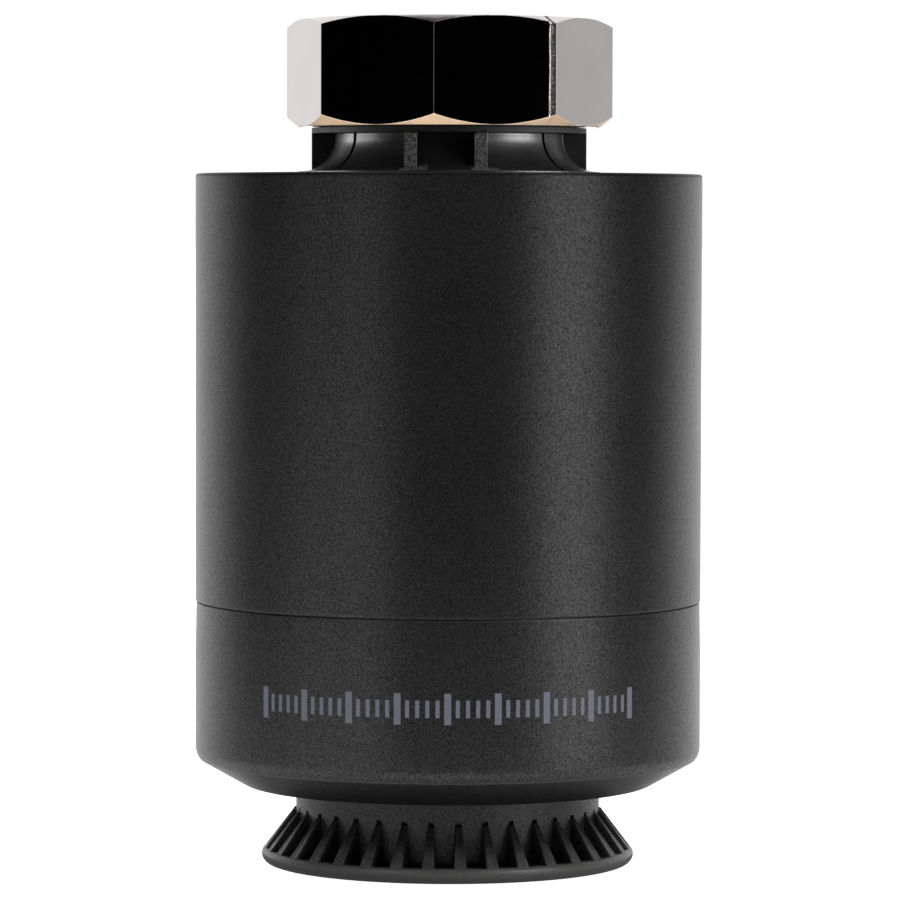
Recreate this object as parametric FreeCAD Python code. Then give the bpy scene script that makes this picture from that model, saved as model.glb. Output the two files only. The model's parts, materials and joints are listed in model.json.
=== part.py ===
import FreeCAD, Part
import math
import os

# Motorised radiator-valve head, standing on its dial with the union nut up.
# Millimetres. +Z runs from the dial to the nut, the front faces -Y, and the
# origin is the centre of the dial rim's resting plane.

Vector = FreeCAD.Vector
ORIGIN = (0.0, 0.0)
os.makedirs("parts", exist_ok=True)


# ------------------------------------------------------------------- helpers
def polar(radius, degrees, centre=ORIGIN):
    angle = math.radians(degrees)
    return (centre[0] + radius * math.cos(angle), centre[1] + radius * math.sin(angle))


def cylinder(radius, start, end, centre=ORIGIN):
    low, high = sorted((start, end))
    return Part.makeCylinder(radius, high - low, Vector(*centre, low))


def tube(outer, inner, low, high, centre=ORIGIN):
    return cylinder(outer, low, high, centre).cut(cylinder(inner, low - 1, high + 1, centre))


def box(x_span, y_span, z_span):
    x0, x1 = sorted(x_span)
    y0, y1 = sorted(y_span)
    z0, z1 = sorted(z_span)
    return Part.makeBox(x1 - x0, y1 - y0, z1 - z0, Vector(x0, y0, z0))


def with_posts(shape, radius, low, high, places):
    for place in places:
        shape = shape.fuse(cylinder(radius, low, high, place))
    return shape


def drilled(shape, radius, low, high, places):
    for place in places:
        shape = shape.cut(cylinder(radius, low, high, place))
    return shape


def rotated(shape, degrees, centre=ORIGIN):
    result = shape.copy()
    result.rotate(Vector(*centre, 0), Vector(0, 0, 1), degrees)
    return result


def moved(shape, x, y, z=0.0):
    result = shape.copy()
    result.translate(Vector(x, y, z))
    return result


def outline(points):
    # closed wire in the XZ plane; a third number on a point rounds that corner
    corners = []    # arc start, arc middle (None on a sharp corner), arc end
    for i, (x, z, *rounding) in enumerate(points):
        corner = Vector(x, 0, z)
        if not rounding:
            corners.append((corner, None, corner))
            continue
        radius = rounding[0]
        before, after = points[i - 1], points[(i + 1) % len(points)]
        back = (Vector(before[0], 0, before[1]) - corner).normalize()
        ahead = (Vector(after[0], 0, after[1]) - corner).normalize()
        half = math.acos(max(-1.0, min(1.0, back.dot(ahead)))) / 2
        setback = radius / math.tan(half)
        inward = (back + ahead).normalize()
        middle = corner + inward * (radius / math.sin(half)) - inward * radius
        corners.append((corner + back * setback, middle, corner + ahead * setback))
    edges = []
    for i, (start, middle, end) in enumerate(corners):
        if middle is not None:
            edges.append(Part.Arc(start, middle, end).toShape())
        following = corners[(i + 1) % len(corners)][0]
        if end.distanceToPoint(following) > 1e-6:
            edges.append(Part.makeLine(end, following))
    return Part.Wire(edges)


def lathe(points):
    # points are (radius, z) or (radius, z, corner rounding)
    return Part.Face(outline(points)).revolve(Vector(0, 0, 0), Vector(0, 0, 1), 360)


def polygon(points, z):
    return Part.makePolygon([Vector(x, y, z) for x, y in points + points[:1]])


def prism(points, low, high):
    return Part.Face(polygon(points, low)).extrude(Vector(0, 0, high - low))


def arc_block(inner, outer, mid_degrees, half_degrees, low, high):
    # a piece of a ring
    start, end = mid_degrees - half_degrees, mid_degrees + half_degrees

    def point(radius, degrees):
        return Vector(*polar(radius, degrees), low)

    wire = Part.Wire([
        Part.Arc(point(outer, start), point(outer, mid_degrees), point(outer, end)).toShape(),
        Part.makeLine(point(outer, end), point(inner, end)),
        Part.Arc(point(inner, end), point(inner, mid_degrees), point(inner, start)).toShape(),
        Part.makeLine(point(inner, start), point(outer, start)),
    ])
    return Part.Face(wire).extrude(Vector(0, 0, high - low))


def two_flats(radius, half_width, low, high):
    # cylinder with flats facing -X and +X
    slab = box((-half_width, half_width), (-6, 6), (low - 1, high + 1))
    return cylinder(radius, low, high).common(slab)


COIL_GAP = 0.005        # between the wire and the faces it works between


def coil(start_radius, end_radius, floor, ceiling, wire, centre=ORIGIN):
    turns = 3.0
    steps = int(turns * 16)
    low = floor + wire + COIL_GAP
    rise = ceiling - wire - COIL_GAP - low
    points = []
    for i in range(steps + 1):
        part = i / steps
        radius = start_radius + (end_radius - start_radius) * part
        place = polar(radius, 360 * turns * part, centre)
        points.append(Vector(*place, low + rise * part))
    curve = Part.BSplineCurve()
    curve.interpolate(points)
    tangent = curve.tangent(curve.FirstParameter)[0]
    section = Part.Wire(Part.makeCircle(wire, points[0], tangent))
    return Part.Wire(curve.toShape()).makePipeShell([section], True, False)


def screws(places, seat, tip, radius, head_radius, head_height):
    # cylinder-headed screws; each head sits on seat, on the side away from tip
    head_end = seat + math.copysign(head_height, seat - tip)
    recess_end = seat + (head_end - seat) * 0.45
    arm, half_slot = head_radius * 0.6, 0.2
    result = []
    for x, y in places:
        shank = cylinder(radius, tip, seat, (x, y))
        head = cylinder(head_radius, seat, head_end, (x, y))
        recess_z = (recess_end, head_end)
        cross = box((x - arm, x + arm), (y - half_slot, y + half_slot), recess_z)
        cross = cross.fuse(box((x - half_slot, x + half_slot), (y - arm, y + arm), recess_z))
        result.append(shank.fuse(head).removeSplitter().cut(cross))
    return result


def save(name, *shapes):
    solids = [solid for shape in shapes for solid in shape.Solids]
    out = solids[0] if len(solids) == 1 else Part.makeCompound(solids)
    out.exportStep("parts/%s.step" % name)


# --------------------------------------------------------- shared dimensions
BODY_R = 28.5
WALL = 1.6
INNER_R = BODY_R - WALL
BODY_BOTTOM_Z = 8.9                 # flat underside around the dial neck
SEAM_Z = 29.6                       # top of the front shell
SLEEVE_Z0 = 29.72                   # bottom of the outer sleeve
BODY_TOP_Z = 77.7                   # top of the outer sleeve

DISPLAY_Z0, DISPLAY_Z1 = 7.2, 8.2   # display board
BOARD_Z0, BOARD_Z1 = 17.5, 19.1     # main board
DECK_Z0, DECK_Z1 = 20.2, 22.0       # chassis bottom plate
BASE_Z0, BASE_Z1 = 47.5, 49.0       # gearbox base plate
COVER_Z0, COVER_Z1 = 61.0, 62.6     # gearbox cover
TOP_Z0, TOP_Z1 = 74.4, 76.0         # chassis top plate

RAIL_ANGLES = (20.0, 160.0)         # chassis rails beside the batteries
COLUMN_ANGLES = (198.0, 300.0)
POSTS = [(21.5, -8.0), (-15.5, -18.5), (-19.5, 5.5), (19.5, 5.5)]
BOSSES = [polar(23.2, angle) for angle in (20.0, 160.0, 250.0)]
LUG_R = 18.0
LUG_ANGLES = (0.0, 120.0, 240.0)
LUGS = [polar(LUG_R, angle) for angle in LUG_ANGLES]
COLLAR_SCREWS = [polar(14.2, angle) for angle in (0.0, 180.0, 250.0, 290.0)]

CELL_R = 7.25
CELL_X, CELL_Y = 7.75, 17.0
LEFT_CELL, RIGHT_CELL = (-CELL_X, CELL_Y), (CELL_X, CELL_Y)
BATTERY_LEADS = [(-CELL_X, 21.5), (CELL_X, 21.5)]

# --------------------------------------------------------------------- gears
MODULE = 0.5
PRESSURE = math.radians(20)
BACKLASH = 0.045                    # taken off each flank pair
PINION_TEETH, WHEEL_TEETH, DRIVE_TEETH = 12, 36, 40
DIAL_TEETH, ENCODER_TEETH = 70, 14


def gear(teeth, low, high, centre=ORIGIN, phase=0.0, addendum=MODULE):
    # involute spur gear with one tooth centred at angle phase (radians)
    pitch_r = MODULE * teeth / 2
    base_r = pitch_r * math.cos(PRESSURE)
    tip_r = pitch_r + addendum
    root_r = pitch_r - 1.25 * MODULE

    def involute(angle):
        return math.tan(angle) - angle

    def half_angle(radius):
        angle = math.pi / (2 * teeth) - BACKLASH / (2 * pitch_r) + involute(PRESSURE)
        if radius > base_r:
            angle -= involute(math.acos(base_r / radius))
        return angle

    start = max(root_r, base_r)
    radii = [start + (tip_r - start) * k / 3 for k in range(4)]
    if root_r < base_r:
        radii = [root_r] + radii
    points = []
    for i in range(teeth):
        middle = phase + 2 * math.pi * i / teeth
        for side, flank in ((-1, radii), (1, reversed(radii))):
            for radius in flank:
                angle = middle + side * half_angle(radius)
                points.append((radius * math.cos(angle), radius * math.sin(angle)))
    return moved(prism(points, low, high), *centre)


def centre_distance(teeth, other_teeth):
    return MODULE * (teeth + other_teeth) / 2


def mating_phase(teeth, phase, degrees, other_teeth):
    # phase of the other gear, which lies at this direction from the first, so
    # that its gap faces the first gear's tooth
    direction = math.radians(degrees)
    tooth_part = ((direction - phase) * teeth / (2 * math.pi)) % 1.0
    gap_part = (0.5 - tooth_part) % 1.0
    return direction + math.pi - gap_part * 2 * math.pi / other_teeth


# direction in degrees from each gear to the next, starting at the drive gear
DRIVE_TO_B, B_TO_A, A_TO_MOTOR = 210, -35, 10
DIAL_TO_ENCODER = 300
WHEEL_DISTANCE = centre_distance(WHEEL_TEETH, PINION_TEETH)
GEAR_B = polar(centre_distance(DRIVE_TEETH, PINION_TEETH), DRIVE_TO_B)
GEAR_A = polar(WHEEL_DISTANCE, B_TO_A, GEAR_B)
MOTOR = polar(WHEEL_DISTANCE, A_TO_MOTOR, GEAR_A)
ENCODER = polar(centre_distance(DIAL_TEETH, ENCODER_TEETH), DIAL_TO_ENCODER)
MOTOR_LEADS = [(MOTOR[0] + dx, MOTOR[1]) for dx in (-2.0, 2.0)]
MOTOR_SCREWS = [(MOTOR[0], MOTOR[1] + dy) for dy in (-5.0, 5.0)]

# --------------------------------------------------------------------- dial
DIAL_R = 21.0
DIAL_RIM_H = 1.75
DIAL_NECK_R = 17.13
DIAL_UPPER_R = 15.8                 # narrower neck that carries the gear ring
DIAL_BORE_R = 13.92
RIB_ROOT_R = 16.6                   # also the floor of the sinks above the ribs
RIB_SECTIONS = [(1.6, 20.7, 1.40), (6.04, 17.3, 0.65)]     # z, edge radius, width
SINK_Z = (6.0, 6.42)
SINK_W = 0.68
RIB_COUNT = 36
RIB_ANGLES = [360.0 / RIB_COUNT * i + 4.0 for i in range(RIB_COUNT)]
RING_R = 18.9                       # gear ring flange and slip washer


def dial_rib():
    sections = []
    for z, edge, width in RIB_SECTIONS:
        half = width / 2
        corners = [(RIB_ROOT_R, -half), (edge, -half), (edge, half), (RIB_ROOT_R, half)]
        sections.append(polygon(corners, z))
    return Part.makeLoft(sections, True, True)


def dial():
    body = lathe([
        (DIAL_BORE_R, 0.6), (15.2, 0.0), (DIAL_R, 0.0, 1.05), (DIAL_R, DIAL_RIM_H, 0.65),
        (DIAL_NECK_R, DIAL_RIM_H), (DIAL_NECK_R, 10.9), (DIAL_UPPER_R, 10.9),
        (DIAL_UPPER_R, 14.45), (16.0, 14.45), (16.0, 14.8), (DIAL_BORE_R, 14.8),
    ])
    body = body.fuse([rotated(dial_rib(), angle) for angle in RIB_ANGLES]).removeSplitter()
    sink = box((RIB_ROOT_R, 18.0), (-SINK_W / 2, SINK_W / 2), SINK_Z)
    return body.cut(Part.makeCompound([rotated(sink, angle) for angle in RIB_ANGLES]))


def dial_gear_ring():
    # sits on the upper neck; its flange keeps the dial in the shell
    teeth = gear(DIAL_TEETH, 12.0, 14.4, addendum=0.4).cut(cylinder(DIAL_UPPER_R, 11, 15))
    return tube(RING_R, DIAL_UPPER_R, 11.3, 12.0).fuse(teeth).removeSplitter()


def encoder_gear():
    phase = mating_phase(DIAL_TEETH, 0.0, DIAL_TO_ENCODER, ENCODER_TEETH)
    teeth = gear(ENCODER_TEETH, 12.2, 14.3, ENCODER, phase)
    return teeth.fuse(cylinder(1.0, 14.2, 15.9, ENCODER)).removeSplitter()


def encoder():
    x, y = ENCODER
    half = 3.5
    body = box((x - half, x + half), (y - half, y + half), (14.9, BOARD_Z0))
    return rotated(body, 30, ENCODER).cut(cylinder(1.06, 14.5, 16.0, ENCODER))


save("dial", dial())
save("dial_gear_ring", dial_gear_ring())
save("slip_washer", tube(RING_R, 17.7, 10.52, 11.25))
save("encoder_gear", encoder_gear())
save("encoder", encoder())

# ------------------------------------------------- front shell, outer sleeve
# outside of the shell: radius, z, corner rounding
SHELL_OUTSIDE = [
    (17.5, BODY_BOTTOM_Z, 0.2), (22.8, BODY_BOTTOM_Z, 2.0), (BODY_R, 12.0, 1.9),
    (BODY_R, 24.0), (28.4, SEAM_Z, 0.16),
]
MARK_COUNT = 41
MARK_PITCH = 2.2                    # degrees
MARK_Z = 20.0                       # middle of every mark
LONG_MARK = (3.4, 0.75)             # height, half width in degrees
SHORT_MARK = (1.9, 0.45)
SLEEVE_HOLE_R = 19.15               # clears the nut, so the sleeve can be lifted off
SLEEVE_INSIDE_Z = BODY_TOP_Z - WALL


def front_shell():
    inside = [(INNER_R, SEAM_Z), (INNER_R, 13.05), (22.5, 10.5), (17.5, 10.5)]
    shell = lathe(SHELL_OUTSIDE + inside)
    filled = lathe([(0, BODY_BOTTOM_Z)] + SHELL_OUTSIDE[1:] + [(0, SEAM_Z)])
    for place in BOSSES:
        shell = shell.fuse(cylinder(2.2, 9.0, DECK_Z0, place).common(filled))
    return drilled(shell, 1.0, 12.4, 21.0, BOSSES).removeSplitter()


def graduation_marks():
    # thin blocks around the front of the shell, every fifth one long
    marks = []
    for i in range(MARK_COUNT):
        step = i - MARK_COUNT // 2
        height, half_width = LONG_MARK if step % 5 == 0 else SHORT_MARK
        marks.append(arc_block(BODY_R + 0.004, BODY_R + 0.03, 270 + MARK_PITCH * step,
                               half_width, MARK_Z - height / 2, MARK_Z + height / 2))
    return marks


def outer_sleeve():
    return lathe([
        (INNER_R, SLEEVE_Z0), (BODY_R, SLEEVE_Z0, 0.08), (BODY_R, BODY_TOP_Z, 0.35),
        (SLEEVE_HOLE_R, BODY_TOP_Z, 0.1), (SLEEVE_HOLE_R, SLEEVE_INSIDE_Z),
        (INNER_R, SLEEVE_INSIDE_Z),
    ])


save("front_shell", front_shell())
save("seam_gasket", tube(28.1, INNER_R + 0.1, SEAM_Z, SLEEVE_Z0))
save("graduation_marks", *graduation_marks())
save("outer_sleeve", outer_sleeve())

# ------------------------------------------------------------------- chassis
UPRIGHT_Z0, UPRIGHT_Z1 = 21.5, 74.8     # uprights run a little into both plates
CHASSIS_R = 26.3                        # top plate and columns
RAIL_R = 26.35
SHELF_T = 1.4


def chassis():
    body = cylinder(26.75, DECK_Z0, DECK_Z1).fuse(cylinder(CHASSIS_R, TOP_Z0, TOP_Z1))
    # cross wall in front of the batteries
    body = body.fuse(box((-24.6, 24.6), (8.0, 9.2), (UPRIGHT_Z0, UPRIGHT_Z1)))
    for angle in RAIL_ANGLES:
        body = body.fuse(arc_block(24.9, RAIL_R, angle, 3.6, 23.6, UPRIGHT_Z1))
    for angle in COLUMN_ANGLES:
        body = body.fuse(arc_block(24.6, CHASSIS_R, angle, 6.0, UPRIGHT_Z0, UPRIGHT_Z1))
    body = with_posts(body, 2.2, UPRIGHT_Z0, BASE_Z0, POSTS)
    # shelves between the cross wall and the back
    for z in (34.0, 64.5):
        shelf = arc_block(6.0, 26.2, 90.0, 62.0, z, z + SHELF_T)
        body = body.fuse(shelf.common(box((-30, 30), (8.6, 30), (z - 1, z + 3))))
    body = with_posts(body, 2.2, BOARD_Z1, 20.8, LUGS)
    body = drilled(body, CELL_R + 0.12, DECK_Z1, TOP_Z0, (LEFT_CELL, RIGHT_CELL))
    # room for the drive gear, then for the plunger guide
    body = body.cut(box((-8.6, 8.6), (6.5, 10.0), (55.3, 60.7)))
    body = body.cut(cylinder(8.2, 74.0, 77.0))
    # screw holes, with room for the heads at the lugs and bosses
    body = drilled(body, 1.0, 19.0, 22.5, LUGS)
    body = drilled(body, 1.9, 20.9, 22.5, LUGS)
    body = drilled(body, 1.05, 19.0, 22.5, BOSSES)
    body = drilled(body, 2.2, DECK_Z1, 25.0, BOSSES)
    body = drilled(body, 0.95, 40.5, 48.0, POSTS)
    body = drilled(body, 1.05, 74.0, 76.5, COLLAR_SCREWS)
    return drilled(body, 0.8, 19.5, 22.5, MOTOR_LEADS + BATTERY_LEADS).removeSplitter()


save("chassis", chassis())
save("chassis_screws", *screws(BOSSES, seat=DECK_Z1, tip=12.6, radius=0.98,
                               head_radius=1.9, head_height=1.2))
save("sleeve_clips", *[arc_block(RAIL_R + 0.01, 26.84, angle, 3.0, 44.0, 52.0)
                       for angle in RAIL_ANGLES])

# ------------------------------------------------ mounting collar, union nut
CORE_R = 12.75
COLLAR_R = 15.45                    # flange and rib tips
COLLAR_BASE_R = 19.0
GROOVE_R = 12.0                     # snap ring groove
STEP_Z = 77.95                      # foot of the core
SEAT_Z = 87.5                       # valve seat
RIB_Z = (77.8, 82.5)
RIB_PAIR_X = (3.17, 4.57)           # sides of each rib in the front and back pairs
RIB_PAIR_TWIST = -1.5               # degrees
GUIDE_Z0 = 67.6                     # bottom of the plunger guide

NUT_AF = 34.0                       # across the flats of the octagon
NUT_Z0, NUT_Z1 = 82.95, 94.95
NUT_TURN = -5.2                     # one corner stands this far from the front, degrees
THREAD_R = 14.19                    # crests of the M30 x 1.5 internal thread
THREAD_MAJOR_R = 14.95
THREAD_PITCH = 1.5


def mounting_collar():
    body = lathe([
        (0, TOP_Z1), (COLLAR_BASE_R, TOP_Z1), (COLLAR_BASE_R, BODY_TOP_Z, 0.15),
        (17.0, BODY_TOP_Z), (17.0, STEP_Z), (16.75, STEP_Z), (CORE_R, STEP_Z, 3.99),
        (CORE_R, 85.7), (GROOVE_R, 85.7), (GROOVE_R, 86.9), (CORE_R, 86.9),
        (CORE_R, SEAT_Z, 0.2), (0, SEAT_Z),
    ])
    body = body.fuse(tube(COLLAR_R, 12.0, 82.2, 82.85))
    rib_tip_y = math.sqrt(COLLAR_R ** 2 - 3.9 ** 2)
    for y_side in (-1, 1):
        for x_side in (-1, 1):
            rib = box([x_side * x for x in RIB_PAIR_X], (y_side * 11.0, y_side * rib_tip_y), RIB_Z)
            body = body.fuse(rotated(rib, RIB_PAIR_TWIST))
    for side in (-1, 1):
        body = body.fuse(box((side * 11.5, side * COLLAR_R), (-0.7, 0.7), RIB_Z))
    body = body.fuse(cylinder(8.0, GUIDE_Z0, 77.0))
    # four narrow slots in the foot of the core
    slot = box((11.6, 17.2), (-0.25, 0.25), (78.15, 82.2))
    for angle in (215.0, 325.0, 35.0, 145.0):
        body = body.cut(rotated(slot, angle))
    # well, then the plunger's flat-sided hole below it
    body = body.cut(cylinder(9.6, 78.5, 90.0))
    body = body.cut(two_flats(5.3, 4.07, 67.0, 79.0))
    return drilled(body, 1.0, 75.0, 77.7, COLLAR_SCREWS).removeSplitter()


def nut_snap_ring():
    # the gap is at the back
    return tube(14.0, 12.05, 85.78, 86.82).cut(arc_block(11.0, 15.0, 90.0, 22.0, 85.0, 88.0))


def union_nut():
    flat_r = NUT_AF / 2
    corner_r = flat_r / math.cos(math.radians(22.5))
    body = prism([polar(corner_r, 270 + NUT_TURN + 45 * i) for i in range(8)], NUT_Z0, NUT_Z1)
    # bevel the corners at both ends
    body = body.common(lathe([
        (0, NUT_Z0), (flat_r, NUT_Z0), (flat_r + 1.6, NUT_Z0 + 1.31),
        (flat_r + 1.6, NUT_Z1 - 0.97), (flat_r, NUT_Z1), (0, NUT_Z1),
    ]))
    # bore, with the thread as separate ring grooves
    bore = [(0, 82.0), (13.05, 82.0), (13.05, 85.6), (15.2, 85.6), (15.2, 87.4), (THREAD_R, 88.3)]
    for k in range(4):
        z = 89.0 + THREAD_PITCH * k
        bore += [(THREAD_R, z - 0.6), (THREAD_MAJOR_R, z - 0.08),
                 (THREAD_MAJOR_R, z + 0.08), (THREAD_R, z + 0.6)]
    bore += [(THREAD_R, 94.3), (15.2, 95.31), (0, 95.31)]
    return body.cut(lathe(bore))


save("mounting_collar", mounting_collar())
save("collar_screws", *screws(COLLAR_SCREWS, seat=TOP_Z0, tip=77.6, radius=0.98,
                              head_radius=1.8, head_height=1.2))
save("nut_snap_ring", nut_snap_ring())
save("union_nut", union_nut())

# ------------------------------------------------------ plunger, gear train
PLUNGER_R = 3.9
PLUNGER_TOP_Z = 71.5
TIP_STEM_R = 2.5
TIP_STEM_Z = 70.3
THRUST_PIN_R = 2.0
THRUST_PIN_Z1 = 56.9
AXLE_R = 0.75
AXLE_Z0, AXLE_Z1 = 47.9, 62.2
HUB_R = 2.0
HUB_Z0, HUB_Z1 = BASE_Z1 + 0.2, COVER_Z0 - 0.2
OVERLAP = 0.2                       # between fused lengths of a compound gear
WHEEL_A_PHASE, WHEEL_B_PHASE = 0.05, 0.1    # radians


def plunger():
    body = cylinder(PLUNGER_R, 58.0, 67.6).fuse(two_flats(5.22, 4.0, 67.5, PLUNGER_TOP_Z))
    return body.cut(cylinder(TIP_STEM_R, TIP_STEM_Z, 72.0)).removeSplitter()


def plunger_tip():
    return lathe([
        (0, TIP_STEM_Z), (TIP_STEM_R, TIP_STEM_Z), (TIP_STEM_R, PLUNGER_TOP_Z),
        (3.4, PLUNGER_TOP_Z), (3.4, 72.3, 0.4), (0, 72.3),
    ])


def drive_gear():
    body = gear(DRIVE_TEETH, 56.0, 60.0, addendum=0.38).cut(tube(8.2, 6.6, 58.0, 61.0))
    body = body.fuse(cylinder(6.0, 59.5, 67.2))
    # thrust pin hole below, plunger hole above
    body = body.cut(cylinder(THRUST_PIN_R + 0.06, 55.0, THRUST_PIN_Z1 + 0.05))
    return body.cut(cylinder(PLUNGER_R + 0.07, 57.6, 68.0)).removeSplitter()


def compound_gear(centre, wheel_z, wheel_phase, recess, pinion_top, pinion_phase):
    # wheel with a ring recess in both faces, a pinion above it and hubs at both ends
    low, high = wheel_z
    body = gear(WHEEL_TEETH, low, high, centre, wheel_phase, addendum=0.42)
    body = body.cut(tube(7.6, 3.8, high - recess, high + 1, centre))
    body = body.cut(tube(7.6, 3.8, low - 1, low + recess, centre))
    body = body.fuse(gear(PINION_TEETH, high - OVERLAP, pinion_top, centre, pinion_phase))
    body = body.fuse(cylinder(HUB_R, HUB_Z0, low + OVERLAP, centre))
    body = body.fuse(cylinder(HUB_R, pinion_top - OVERLAP, HUB_Z1, centre))
    return body.cut(cylinder(AXLE_R + 0.05, 48.0, 62.0, centre)).removeSplitter()


def gear_b():
    phase = mating_phase(DRIVE_TEETH, 0.0, DRIVE_TO_B, PINION_TEETH)
    return compound_gear(GEAR_B, wheel_z=(52.6, 54.6), wheel_phase=WHEEL_B_PHASE,
                         recess=0.7, pinion_top=60.2, pinion_phase=phase)


def gear_a():
    phase = mating_phase(WHEEL_TEETH, WHEEL_B_PHASE, B_TO_A, PINION_TEETH)
    return compound_gear(GEAR_A, wheel_z=(49.9, 51.7), wheel_phase=WHEEL_A_PHASE,
                         recess=0.6, pinion_top=54.9, pinion_phase=phase)


def motor_pinion():
    phase = mating_phase(WHEEL_TEETH, WHEEL_A_PHASE, A_TO_MOTOR, PINION_TEETH)
    teeth = gear(PINION_TEETH, 49.6, 52.2, MOTOR, phase)
    return teeth.cut(cylinder(AXLE_R, 48.6, 53.2, MOTOR))


def thrust_pin():
    pin = cylinder(THRUST_PIN_R, 47.0, THRUST_PIN_Z1)
    return pin.fuse(cylinder(3.2, 46.5, BASE_Z0)).removeSplitter()


save("plunger", plunger())
save("plunger_tip", plunger_tip())
save("drive_gear", drive_gear())
save("gear_b", gear_b())
save("gear_a", gear_a())
save("motor_pinion", motor_pinion())
save("motor_shaft", cylinder(AXLE_R, 42.0, 52.6, MOTOR))
save("axle_pin_a", cylinder(AXLE_R, AXLE_Z0, AXLE_Z1, GEAR_A))
save("axle_pin_b", cylinder(AXLE_R, AXLE_Z0, AXLE_Z1, GEAR_B))
save("thrust_pin", thrust_pin())

# ------------------------------------------------------------ gearbox, motor
POST_HOLE_R = 0.98
BUSH_R = 3.0
MOTOR_Z0 = 29.0                     # bottom of the can
LEAD_R = 0.5
LEAD_TOP_Z = 26.4


def gearbox_plate(low, high):
    # disc cut straight at the back and notched around the chassis columns and rails
    plate = cylinder(25.6, low, high).common(box((-30, 30), (-30, 7.7), (low - 1, high + 1)))
    for angle in COLUMN_ANGLES:
        plate = plate.cut(arc_block(24.2, 28.0, angle, 7.0, low - 1, high + 1))
    for angle in RAIL_ANGLES:
        plate = plate.cut(arc_block(24.5, 28.0, angle, 5.0, low - 1, high + 1))
    return plate


def gearbox_base():
    body = with_posts(gearbox_plate(BASE_Z0, BASE_Z1), 2.0, BASE_Z1 - 0.5, COVER_Z0, POSTS)
    body = drilled(body, POST_HOLE_R, BASE_Z0 - 1, COVER_Z0 + 1, POSTS)
    body = body.cut(cylinder(BUSH_R + 0.05, 47, 50, MOTOR)).cut(cylinder(THRUST_PIN_R, 47, 50))
    body = drilled(body, AXLE_R, AXLE_Z0, 50, (GEAR_A, GEAR_B))
    return drilled(body, 0.85, 47, 50, MOTOR_SCREWS).removeSplitter()


def gearbox_cover():
    body = gearbox_plate(COVER_Z0, COVER_Z1).fuse(cylinder(7.8, 62.0, 65.4))
    body = body.cut(cylinder(6.06, 60, 66))
    body = drilled(body, POST_HOLE_R, 60, 64, POSTS)
    return drilled(body, AXLE_R, 60, AXLE_Z1, (GEAR_A, GEAR_B)).removeSplitter()


def motor_can():
    # round can with a bush on top
    body = cylinder(8.0, MOTOR_Z0, BASE_Z0, MOTOR).fuse(cylinder(BUSH_R, 47.0, BASE_Z1, MOTOR))
    body = body.cut(cylinder(0.8, 41.5, 50.0, MOTOR))
    return drilled(body, 0.8, 44.4, 48.0, MOTOR_SCREWS).removeSplitter()


def motor_end_cap():
    body = cylinder(7.6, 27.5, MOTOR_Z0, MOTOR)
    return with_posts(body, 0.7, LEAD_TOP_Z, 28.0, MOTOR_LEADS).removeSplitter()


save("gearbox_base", gearbox_base())
save("gearbox_cover", gearbox_cover())
save("gearbox_screws", *screws(POSTS, seat=COVER_Z1, tip=41.0, radius=0.94,
                               head_radius=1.8, head_height=1.2))
save("motor_can", motor_can())
save("motor_end_cap", motor_end_cap())
save("motor_screws", *screws(MOTOR_SCREWS, seat=BASE_Z1, tip=44.6, radius=0.78,
                             head_radius=1.3, head_height=0.5))
save("motor_leads", *[cylinder(LEAD_R, BOARD_Z1, LEAD_TOP_Z, place) for place in MOTOR_LEADS])

# ----------------------------------------------------------------- batteries
CELL_L = 50.5                       # AA cell with its button terminal
CAN_L = 49.3
LEFT_CELL_Z, RIGHT_CELL_Z = 23.5, 22.4
PLATE_Z1 = DECK_Z1 + 0.4            # top of the contact plates
LINK_Z0 = 74.0                      # bottom of the contact link
SPRING_R, SPRING_END_R = 4.6, 2.2   # wide end, narrow end
SPRING_WIRE_R = 0.3


def battery_cell(centre, low, button_up):
    body = lathe([
        (0, 0), (CELL_R, 0, 0.5), (CELL_R, CAN_L, 0.6), (2.75, CAN_L), (2.75, CELL_L, 0.25),
        (0, CELL_L),
    ])
    if not button_up:
        body.rotate(Vector(0, 0, CELL_L / 2), Vector(1, 0, 0), 180)
    return moved(body, *centre, low)


def contact_link():
    body = cylinder(5.0, LINK_Z0, TOP_Z0, LEFT_CELL).fuse(cylinder(5.0, LINK_Z0, TOP_Z0, RIGHT_CELL))
    strip = box((-CELL_X, CELL_X), (CELL_Y - 3.0, CELL_Y + 3.0), (LINK_Z0, TOP_Z0))
    return body.fuse(strip).removeSplitter()


save("battery_cell_left", battery_cell(LEFT_CELL, LEFT_CELL_Z, True))
save("battery_cell_right", battery_cell(RIGHT_CELL, RIGHT_CELL_Z, False))
save("contact_plate_left", cylinder(5.6, DECK_Z1, PLATE_Z1, LEFT_CELL))
save("contact_plate_right", cylinder(5.6, DECK_Z1, PLATE_Z1, RIGHT_CELL))
save("contact_link", contact_link())
save("battery_spring_left",
     coil(SPRING_R, SPRING_END_R, PLATE_Z1, LEFT_CELL_Z, SPRING_WIRE_R, LEFT_CELL))
save("battery_spring_right",
     coil(SPRING_END_R, SPRING_R, RIGHT_CELL_Z + CELL_L, LINK_Z0, SPRING_WIRE_R, RIGHT_CELL))
save("battery_leads", *[cylinder(LEAD_R, BOARD_Z1, DECK_Z1, place) for place in BATTERY_LEADS])

# --------------------------------------------------------------- electronics
CARRIER_R = 13.85                   # fixed tube inside the dial
CARRIER_BORE_R = 13.0
CARRIER_FLANGE_Z = 15.3             # bottom of the flange and lugs
FRAME_Z0, FRAME_Z1 = 2.2, 4.4       # window frame


def main_board():
    body = drilled(cylinder(25.2, BOARD_Z0, BOARD_Z1), 2.6, 17, 20, BOSSES)
    return drilled(body, 1.05, 17, 20, LUGS)


def capacitor():
    body = lathe([(0, 10.8), (2.5, 10.8, 0.4), (2.5, BOARD_Z0), (0, BOARD_Z0)])
    return moved(body, 6.5, 0.0)


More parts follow.
